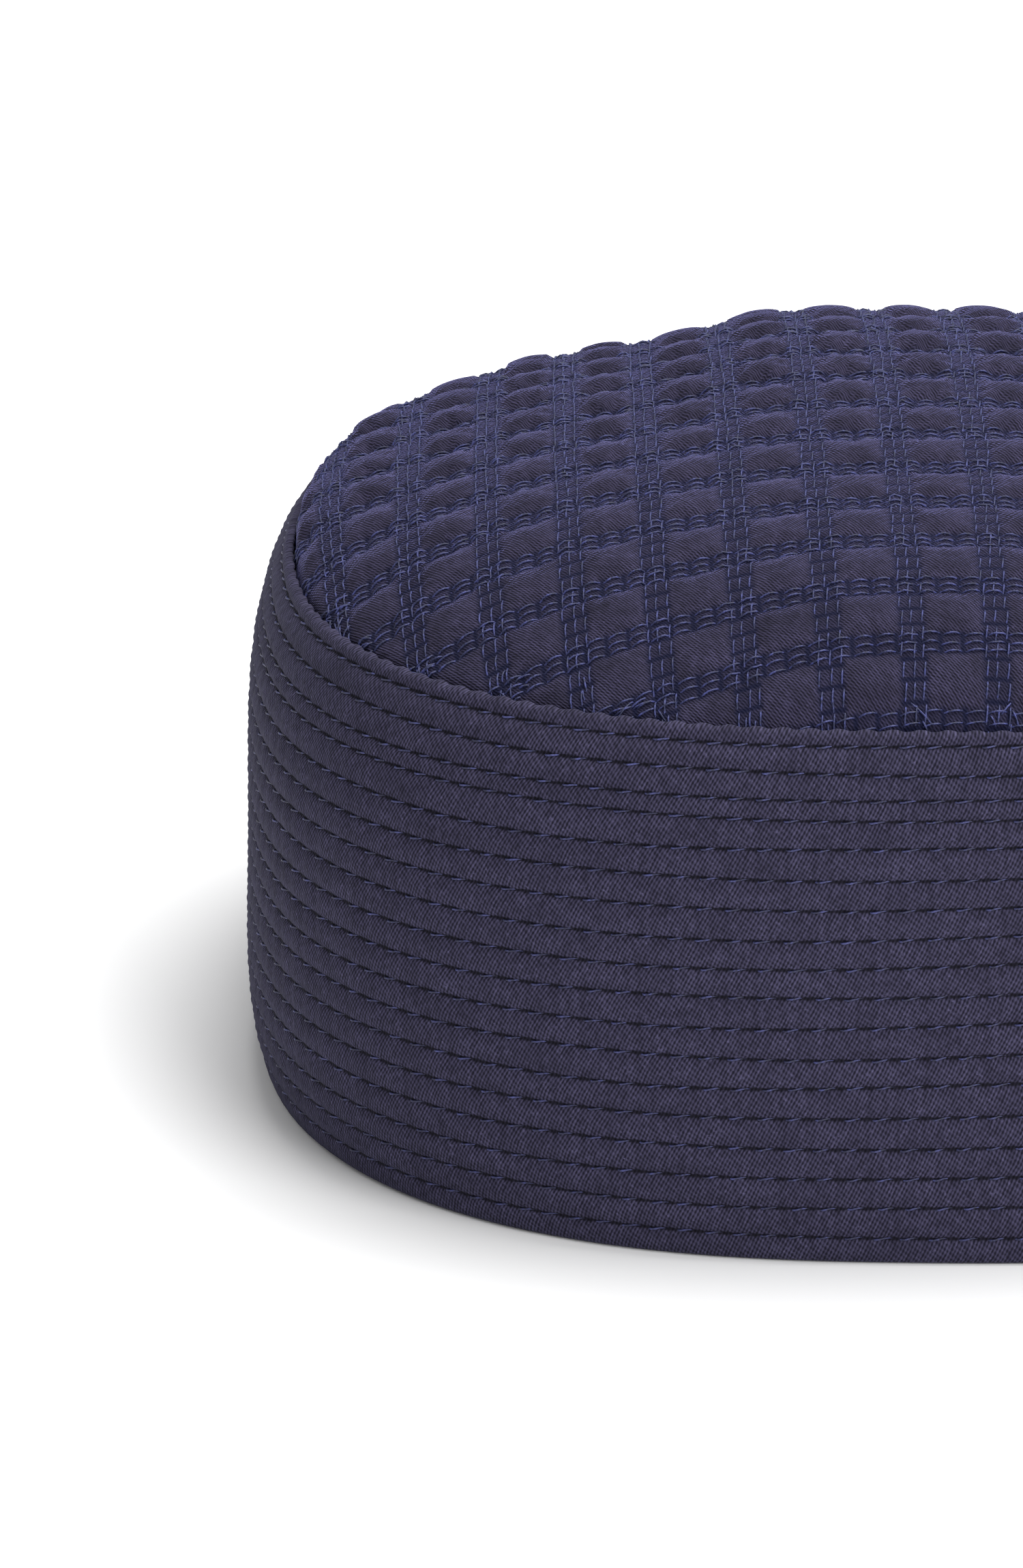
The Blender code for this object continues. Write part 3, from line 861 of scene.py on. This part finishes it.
def crown_relief(cap, across, along, share):
    """Lift of the crown's cloth over the dome: pillows between passes and channels along the rows."""
    first = cap.first
    side, cell_across = to_nearest_pass(cap, first["across"], across)
    front, cell_along = to_nearest_pass(cap, first["along"], along)
    half = cap.quilt.pitch / 2.0 - PASS_HALF
    pillow = np.ones_like(side)
    rises = []
    calm = 0.55 + 0.45 * smooth_step(-62.0 * MM, 22.0 * MM, along)
    for distance, other, seed in ((side, along, 1), (front, across, 2)):
        rise = np.clip((np.abs(distance) - PASS_HALF) / half, 0.0, 1.0)
        phase = math.tau * pillow_random(cell_across, cell_along, seed)
        pucker = -0.19 * calm**2 * np.cos(math.tau * other / cap.quilt.stitch)
        pucker += 0.08 * np.sin(math.tau * other / (cap.quilt.stitch * 1.7) + phase)
        rise = pillow_rise(np.clip(rise + pucker * (rise > 0.0) * (1.0 - rise), 0.0, 1.0))
        pillow = pillow * rise
        rises.append(rise)
    fullness = 0.82 + 0.36 * pillow_random(cell_across, cell_along, 3)
    drag = math.tau * (pillow_random(cell_across, cell_along, 4) + along / (3.4 * MM))
    drag = 0.06 * MM * np.sin(drag + 1.3 * np.sin(across / (2.2 * MM))) * pillow
    lift = -cap.quilt.valley + cap.quilt.puff * pillow * fullness * calm + drag
    lift = lift - cap.quilt.crosswise_sink * calm**2 * (1.0 - rises[1]) * rises[0]
    for distance, other in ((side, along), (front, across)):
        inside = np.abs(distance) < PASS_HALF
        row = np.abs(np.abs(distance) - cap.quilt.row_step)
        row = np.minimum(row, np.abs(distance))
        channel = CHANNEL_DEPTH * np.exp(-((row / (0.3 * MM)) ** 2))
        tug = STITCH_TUG * np.cos(math.tau * other / cap.quilt.stitch)
        lift = lift - np.where(inside, channel + tug, 0.0)
    return lift * (1.0 - smooth_step(0.965, 0.998, share))


def lining_lift(cap, across, along, share):
    """Lift of the lining's upper face, which puffs inwards under each pillow."""
    side, _ = to_nearest_pass(cap, cap.first["across"], across)
    front, _ = to_nearest_pass(cap, cap.first["along"], along)
    half = cap.quilt.pitch / 2.0 - PASS_HALF
    pillow = 1.0
    for distance in (side, front):
        pillow = pillow * pillow_rise(np.clip((np.abs(distance) - PASS_HALF) / half, 0.0, 1.0))
    edge = smooth_step(0.88, 1.0, share)
    quilted = -cap.quilt.valley - LINING_DROP - LINING_PUFF * pillow
    quilted = quilted * (1.0 - edge) - LINING_NEAREST * edge
    return np.minimum(quilted, crown_relief(cap, across, along, share) - LINING_NEAREST)


def grid_lines(cap, first):
    """Lines across the whole crown: close together on the passes, even across the pillows."""
    reach = cap.size.half_width * 1.16
    lines = []
    step = math.floor((-reach - first) / cap.quilt.pitch)
    while first + step * cap.quilt.pitch < reach:
        middle = first + step * cap.quilt.pitch
        lines += [middle + line for line in PASS_LINES]
        open_part = cap.quilt.pitch - 2.0 * PASS_HALF
        lines += [
            middle + PASS_HALF + open_part * (line + 1) / (PILLOW_LINES + 1)
            for line in range(PILLOW_LINES)
        ]
        step += 1
    return np.array(lines)


def crown_grid(cap):
    """The grid on the flat cloth, and where each of its points comes to lie on the dome."""
    across, along = np.meshgrid(
        grid_lines(cap, cap.first["across"]), grid_lines(cap, cap.first["along"]), indexing="xy"
    )
    x, y = quilt_place(cap, across, along)
    _, share, overhang = lay(cap, x, y)
    share = np.where(overhang > 0.0, 1.0 + overhang / cap.seam_radius, share)
    return SimpleNamespace(across=across, along=along, x=x, y=y, share=share)


def crown_layer(cap, name, grid, upper, lower, widest):
    """A closed layer of the crown between two lifts, out to a share of the radius."""
    inside = grid.share < widest
    keep = inside[:-1, :-1] | inside[1:, :-1] | inside[:-1, 1:] | inside[1:, 1:]
    row, column = np.nonzero(keep)
    corners = ((row, column), (row, column + 1), (row + 1, column + 1), (row + 1, column))
    faces = np.stack([r * grid.x.shape[1] + c for r, c in corners], axis=1)
    used, faces = np.unique(faces, return_inverse=True)
    faces = faces.reshape(-1, 4)
    count = len(used)
    start, end = faces.ravel(), np.roll(faces, -1, axis=1).ravel()
    rim = ~np.isin(start * count + end, end * count + start)
    start, end = start[rim], end[rim]
    wall = np.stack([end, start, start + count, end + count], axis=1)
    faces = np.concatenate([faces, faces[:, ::-1] + count, wall])
    layers = [on_crown(cap, grid.x, grid.y, lift)[0].reshape(-1, 3)[used] for lift in (upper, lower)]
    mesh = bpy.data.meshes.new(name)
    mesh.from_pydata(np.concatenate(layers).tolist(), [], faces.tolist())
    side, _ = to_nearest_pass(cap, cap.first["across"], grid.across)
    front, _ = to_nearest_pass(cap, cap.first["along"], grid.along)
    stitches = (grid.along / cap.quilt.stitch, grid.across / cap.quilt.stitch)
    maps = {"cloth": (grid.x, grid.y), "rows": (np.abs(side), np.abs(front)), "stitches": stitches}
    for map_name, pair in maps.items():
        values = np.stack([axis.ravel()[used] for axis in pair], axis=1)
        layer = mesh.uv_layers.new(name=map_name)
        layer.data.foreach_set("uv", values[faces % count].astype(np.float32).ravel())
    return mesh


# Stitches.


def topstitch_paths(cap, row, under):
    """Paths of a row's stitches: each comes up by its needle hole, glints, and sinks into the crease."""
    count = cap.band.stitches
    random = np.random.default_rng(700 + row)
    phase = 0.1 * math.sin(1.7 * row) + 0.03 * row
    places = np.array((0.0, 0.06, 0.16, 0.28, 0.42, 0.6, 0.85, 1.0))
    lifts = np.array((-0.5, -0.1, 0.2, 0.22, 0.04, -0.1, -0.2, -0.5)) * MM
    if under:
        places = places[::2]
        lifts = np.array((0.3, -0.12, -0.14, 0.3)) * MM
    start = (np.arange(count) + phase + random.normal(0.0, 0.025, count)) / count
    turns = start[:, None] + places / count
    slant = (places - 0.5) * 0.5 * MM
    rows_here = np.array([row_path(cap, other, turns.ravel()) for other in range(len(ROW_NODES))])
    height = rows_here[row]
    relief, _ = band_relief(cap, turns.ravel(), height, rows_here)
    relief = relief.reshape(turns.shape)
    height = height.reshape(turns.shape) + slant + random.normal(0.0, 0.05 * MM, (count, 1))
    lift = lifts * random.uniform(0.75, 1.25, (count, 1))
    if under:
        lift = lift - LINING_INSET - LINING_CLOTH
    else:
        lift = lift + relief
    paths = on_band(cap, turns, height, lift)
    outward = on_band(cap, turns, height, lift + 1.0 * MM) - paths
    return paths, outward / np.linalg.norm(outward, axis=2, keepdims=True)


def row_mesh(cap, row):
    """One row round the band: the needle thread outside and the bobbin thread on the lining."""
    radius = cap.band.thread / 2.0
    needle = thread_tubes(*topstitch_paths(cap, row, False), radius)
    bobbin = thread_tubes(*topstitch_paths(cap, row, True), radius, 4)
    return thread_mesh(ROW_NODES[row] + "_thread", [needle, bobbin])


def pass_reach(cap, crosswise, offset):
    """Where a row at an offset meets the crown's edge, as its lowest and highest place."""
    run = np.linspace(-1.1, 1.1, 1101) * cap.size.half_width
    level = np.full_like(run, offset)
    x, y = quilt_place(cap, run, level) if crosswise else quilt_place(cap, level, run)
    _, share, overhang = lay(cap, x, y)
    on_top = run[(share < 1.0) & (overhang <= 0.0)]
    if len(on_top) == 0:
        return None
    return float(on_top.min()), float(on_top.max())


def reach_ends(cap, crosswise, offset):
    """The ends of a pass, where its stitches were sewn over each other; short passes have none."""
    reach = pass_reach(cap, crosswise, offset)
    return reach if reach is not None and reach[1] - reach[0] > 60.0 * MM else ()


def quilt_stitches(cap, name, offset, under):
    """Paths of the stitches of one pass: three rows, sewn side by side by needles in line."""
    crosswise = "crosswise" in name
    pace = cap.quilt.stitch
    random = np.random.default_rng(sum(map(ord, name)))
    places = np.array((0.0, 0.12, 0.28, 0.5, 0.72, 0.88, 1.0))
    lifts = np.array((-0.5, -0.1, 0.12, 0.2, 0.12, -0.1, -0.5)) * MM
    if under:
        places = places[::2]
        lifts = np.array((0.3, -0.1, -0.1, 0.3)) * MM
    runs, levels = [], []
    for row in (-1, 0, 1):
        reach = pass_reach(cap, crosswise, offset + row * cap.quilt.row_step)
        if reach is None:
            continue
        start = np.arange(math.floor(reach[0] / pace), math.ceil(reach[1] / pace))
        start = start * pace + random.normal(0.0, 0.12 * MM, len(start))
        runs.append(start[:, None] + places * pace)
        drift = random.normal(0.0, 0.1 * MM, (len(start), 1)) + (places - 0.5) * 0.35 * MM
        levels.append(offset + row * cap.quilt.row_step + drift)
    for end in reach_ends(cap, crosswise, offset) if not under else ():
        start = end + random.uniform(-0.6, 1.0, TANGLE) * math.copysign(4.0 * MM, -end)
        runs.append(start[:, None] + (places - 0.5) * pace * random.uniform(0.5, 1.1, (TANGLE, 1)))
        level = offset + random.normal(0.0, 0.8 * MM, (TANGLE, 1))
        levels.append(level + (places - 0.5) * random.normal(0.0, 1.0 * MM, (TANGLE, 1)))
    run, level = np.concatenate(runs), np.concatenate(levels)
    across, along = (run, level) if crosswise else (level, run)
    x, y = quilt_place(cap, across, along)
    _, share, _ = lay(cap, x, y)
    lift = lifts * random.uniform(0.7, 1.3, (len(run), 1))
    if under:
        lift = lift + lining_lift(cap, across, along, share) - CROWN_LINING
    else:
        over = 0.1 * MM if crosswise else 0.0
        lift = lift + crown_relief(cap, across, along, share) + over
    paths, _ = on_crown(cap, x, y, lift)
    higher, _ = on_crown(cap, x, y, lift + 1.0 * MM)
    outward = higher - paths
    return paths, outward / np.linalg.norm(outward, axis=2, keepdims=True)


def pass_mesh(cap, name, offsets):
    """One pass of quilting: its rows of needle thread on top, and of bobbin thread under the lining."""
    radius = cap.quilt.thread / 2.0
    tubes = []
    for offset in offsets:
        tubes.append(thread_tubes(*quilt_stitches(cap, name, offset, False), radius))
        tubes.append(thread_tubes(*quilt_stitches(cap, name, offset, True), radius * 0.8, 4))
    return thread_mesh(name + "_thread", tubes)


# Operators: one for each piece or group of like pieces, and one for the stage.


class CapOperator:
    """Shared by the cap's operators."""

    bl_options = {"REGISTER", "UNDO"}


class CAP_OT_band_cloth(CapOperator, bpy.types.Operator):
    """Build the band's outer cloth with its creased rows, turned fold and hem"""

    bl_idname = "cap.band_cloth"
    bl_label = "Band cloth"

    def execute(self, context):
        cap = cap_of(context)
        mesh = band_cloth_mesh(cap)
        piece = add_piece("band_cloth", mesh, band_twill(cap), ["band_shell"])
        return {"FINISHED"}


class CAP_OT_band_layers(CapOperator, bpy.types.Operator):
    """Build the band's stiffener and its lining"""

    bl_idname = "cap.band_layers"
    bl_label = "Band stiffener and lining"

    def execute(self, context):
        cap = cap_of(context)
        top, bottom = STIFFENER_HIGH.z, STIFFENER_LOW.z
        clear = 0.15 * MM
        inset, thickness = FOLD_INSET + clear, STIFFENER_CLOTH - 2.0 * clear
        mesh = sleeve_mesh(cap, "band_stiffener_felt", inset, thickness, bottom, top, 0.0)
        felt = matted_fibre("stiffener_pressed_felt", cap.colour.felt, 0.8 * MM)
        piece = add_piece("band_stiffener_felt", mesh, felt, ["band_stiffener"])
        top, bottom = LINING_HIGH.z, LINING_LOW.z
        ripple = 0.35 * MM
        mesh = sleeve_mesh(
            cap, "band_lining_cotton", LINING_INSET, LINING_CLOTH, bottom, top, ripple
        )
        piece = add_piece("band_lining_cotton", mesh, plain_cotton(cap), ["band_lining"])
        return {"FINISHED"}


class CAP_OT_crown(CapOperator, bpy.types.Operator):
    """Build the quilted crown: its cloth, the wadding that fills the pillows and its lining"""

    bl_idname = "cap.crown"
    bl_label = "Crown"

    def execute(self, context):
        cap = cap_of(context)
        cap.first = first_offsets(cap)
        grid = crown_grid(cap)
        face = crown_relief(cap, grid.across, grid.along, grid.share)
        inner = lining_lift(cap, grid.across, grid.along, grid.share)
        edge = 1.0 + CROWN_ALLOWANCE / cap.seam_radius
        mesh = crown_layer(cap, "crown_cloth", grid, face, face - CROWN_CLOTH, edge)
        piece = add_piece("crown_cloth", mesh, crown_twill(cap), ["crown_shell"])
        upper, lower = face - CROWN_CLOTH - CLEAR_OF_CLOTH, inner + CLEAR_OF_CLOTH
        mesh = crown_layer(cap, "crown_wadding_fibre", grid, upper, lower, WADDING_EDGE)
        fibre = matted_fibre("wadding_loose_polyester", cap.colour.wadding, 1.2 * MM)
        piece = add_piece("crown_wadding_fibre", mesh, fibre, ["crown_wadding"])
        mesh = crown_layer(cap, "crown_lining_cotton", grid, inner, inner - CROWN_LINING, edge)
        cotton = plain_cotton(cap)
        piece = add_piece("crown_lining_cotton", mesh, cotton, ["crown_lining"])
        return {"FINISHED"}


class CAP_OT_topstitching(CapOperator, bpy.types.Operator):
    """Sew the rows of topstitching round the band, stitch by stitch"""

    bl_idname = "cap.topstitching"
    bl_label = "Topstitching"

    def execute(self, context):
        cap = cap_of(context)
        thread = spun_polyester("topstitch_spun_polyester", cap.colour.thread)
        for row, node in enumerate(ROW_NODES):
            add_piece(node + "_thread", row_mesh(cap, row), thread, [node])
        return {"FINISHED"}


class CAP_OT_quilting(CapOperator, bpy.types.Operator):
    """Sew the passes of quilting over the crown, three rows of stitches to a pass"""

    bl_idname = "cap.quilting"
    bl_label = "Quilting"

    def execute(self, context):
        cap = cap_of(context)
        cap.first = first_offsets(cap)
        thread = spun_polyester("quilting_spun_polyester", cap.colour.quilting)
        for direction in ("crosswise", "lengthwise"):
            for number, (node, offset) in enumerate(zip(*pass_offsets(cap, direction))):
                # The machine's next pass just catches the front edge, so it goes with the first one.
                caught = [offset - cap.quilt.pitch] if direction == "crosswise" and number == 0 else []
                mesh = pass_mesh(cap, node, [offset, *caught])
                add_piece(node + "_thread", mesh, thread, [node])
        return {"FINISHED"}


CAMERA_PLACE = (-0.0307, -1.018, 0.4297)
CAMERA_DIP = 0.369
CAMERA_SWING = 0.027
CAMERA_LENS_MM = 169.5
FLOOR_REACH = 3.0
FLOOR_DROP = 0.1 * MM
ROOM_LIGHT = 0.52


def add_light(name, place, size, energy):
    data = bpy.data.lights.new(name, "AREA")
    data.shape = "DISK"
    data.size = size
    data.energy = energy
    light = bpy.data.objects.new(name, data)
    light.location = place
    aim = -np.array(place) + np.array((0.0, 0.0, 0.05))
    flat = math.hypot(aim[0], aim[1])
    light.rotation_euler = (math.atan2(flat, -aim[2]), 0.0, math.atan2(aim[1], aim[0]) - math.pi / 2.0)
    bpy.context.scene.collection.objects.link(light)


class CAP_OT_stage(CapOperator, bpy.types.Operator):
    """Add the pale floor, the soft lights and the camera"""

    bl_idname = "cap.stage"
    bl_label = "Stage"

    def execute(self, context):
        cap = cap_of(context)
        scene = context.scene
        lines = np.linspace(-FLOOR_REACH, FLOOR_REACH, 13)
        x, y = np.meshgrid(lines, lines)
        points = np.stack([x, y, np.full_like(x, -FLOOR_DROP)], axis=-1)
        mesh = grid_mesh("floor", points, {}, False, False)
        floor_colour = opaque(cap.colour.floor)
        paper = new_material("floor_matt_paper", Base_Color=floor_colour, Roughness=0.9)[0]
        mesh.materials.append(paper)
        floor = bpy.data.objects.new("floor", mesh)
        scene.collection.objects.link(floor)
        world = bpy.data.worlds.new("soft_room")
        world.use_nodes = True
        background = world.node_tree.nodes["Background"]
        background.inputs[0].default_value = (1.0, 1.0, 1.0, 1.0)
        background.inputs[1].default_value = ROOM_LIGHT
        scene.world = world
        add_light("overhead_softbox", (0.28, 0.32, 1.4), 1.2, 23.0)
        add_light("front_fill", (0.9, -1.1, 0.9), 1.2, 18.0)
        camera = bpy.data.objects.new("camera", bpy.data.cameras.new("camera"))
        camera.location = CAMERA_PLACE
        camera.rotation_euler = (math.pi / 2.0 - CAMERA_DIP, 0.0, CAMERA_SWING)
        camera.data.sensor_width = 36.0
        camera.data.lens = CAMERA_LENS_MM
        camera.data.clip_start = 0.05
        scene.collection.objects.link(camera)
        scene.camera = camera
        scene.view_settings.view_transform = "Standard"
        return {"FINISHED"}


STEPS = (
    CAP_OT_band_cloth,
    CAP_OT_band_layers,
    CAP_OT_crown,
    CAP_OT_topstitching,
    CAP_OT_quilting,
    CAP_OT_stage,
)


class CAP_PT_sidebar(bpy.types.Panel):
    """The cap's steps and settings"""

    bl_idname = "CAP_PT_sidebar"
    bl_label = "Quilted Round Cap"
    bl_space_type = "VIEW_3D"
    bl_region_type = "UI"
    bl_category = "Cap"

    def draw(self, context):
        layout = self.layout
        for step in STEPS:
            layout.operator(step.bl_idname, text=step.bl_label)
        for name in SETTINGS:
            box = layout.box()
            group = getattr(context.scene, name)
            for key in group.__annotations__:
                box.prop(group, key)


SETTINGS = {
    "cap_sizes": CapSizes,
    "cap_quilt": QuiltSizes,
    "cap_band": BandSizes,
    "cap_colours": CapColours,
}
CLASSES = (*SETTINGS.values(), *STEPS, CAP_PT_sidebar)


def register():
    for item in CLASSES:
        bpy.utils.register_class(item)
    for name, group in SETTINGS.items():
        setattr(bpy.types.Scene, name, PointerProperty(type=group))


def unregister():
    for name in SETTINGS:
        delattr(bpy.types.Scene, name)
    for item in reversed(CLASSES):
        bpy.utils.unregister_class(item)


def main():
    register()
    for step in STEPS:
        group, action = step.bl_idname.split(".")
        getattr(getattr(bpy.ops, group), action)()


if __name__ == "__main__":
    main()
